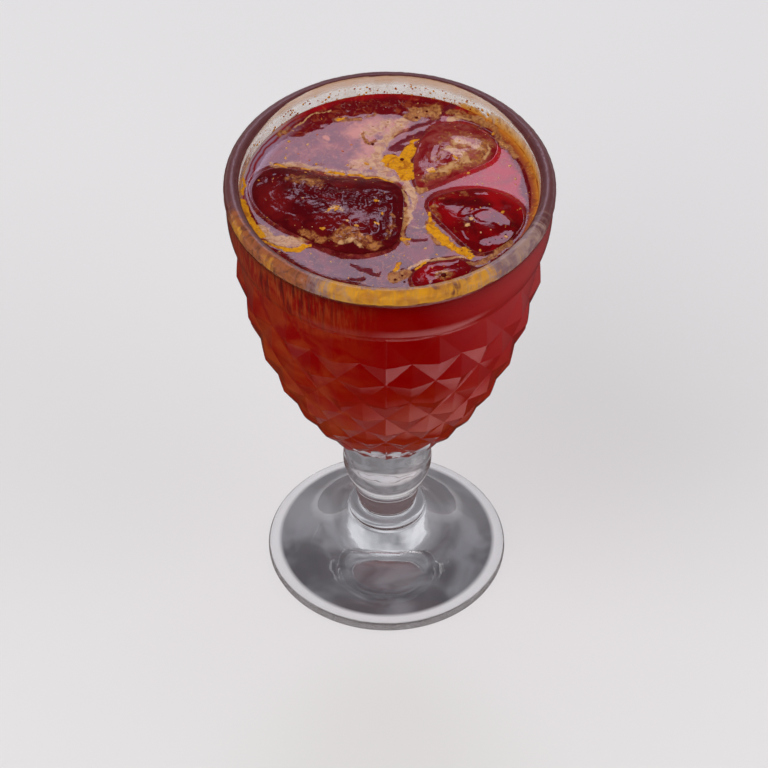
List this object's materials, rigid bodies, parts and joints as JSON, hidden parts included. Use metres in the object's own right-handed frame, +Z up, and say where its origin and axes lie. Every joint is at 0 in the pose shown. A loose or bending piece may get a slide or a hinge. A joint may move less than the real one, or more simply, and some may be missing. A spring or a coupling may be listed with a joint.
{
  "type": "glass of orange and berry juice",
  "caption": "Stemmed pressed-glass goblet with a diamond-point bowl, filled with red orange and berry juice, foam and floating ice.",
  "frame": {"origin": "centre of the foot's underside, on the surface that the glass stands on", "axes": "+Z up along the glass's axis, -Y towards the front"},
  "size_m": [0.0872, 0.0872, 0.1403],
  "materials": {
    "pressed_glass": "clear, polished",
    "juice": null,
    "ice": "wet ice stained by the juice"
  },
  "bodies": {
    "root": {"goblet": "pressed_glass", "juice": "juice", "ice_left": "ice", "ice_upper_right": "ice", "ice_right": "ice", "ice_front": "ice"}
  },
  "joints": []
}
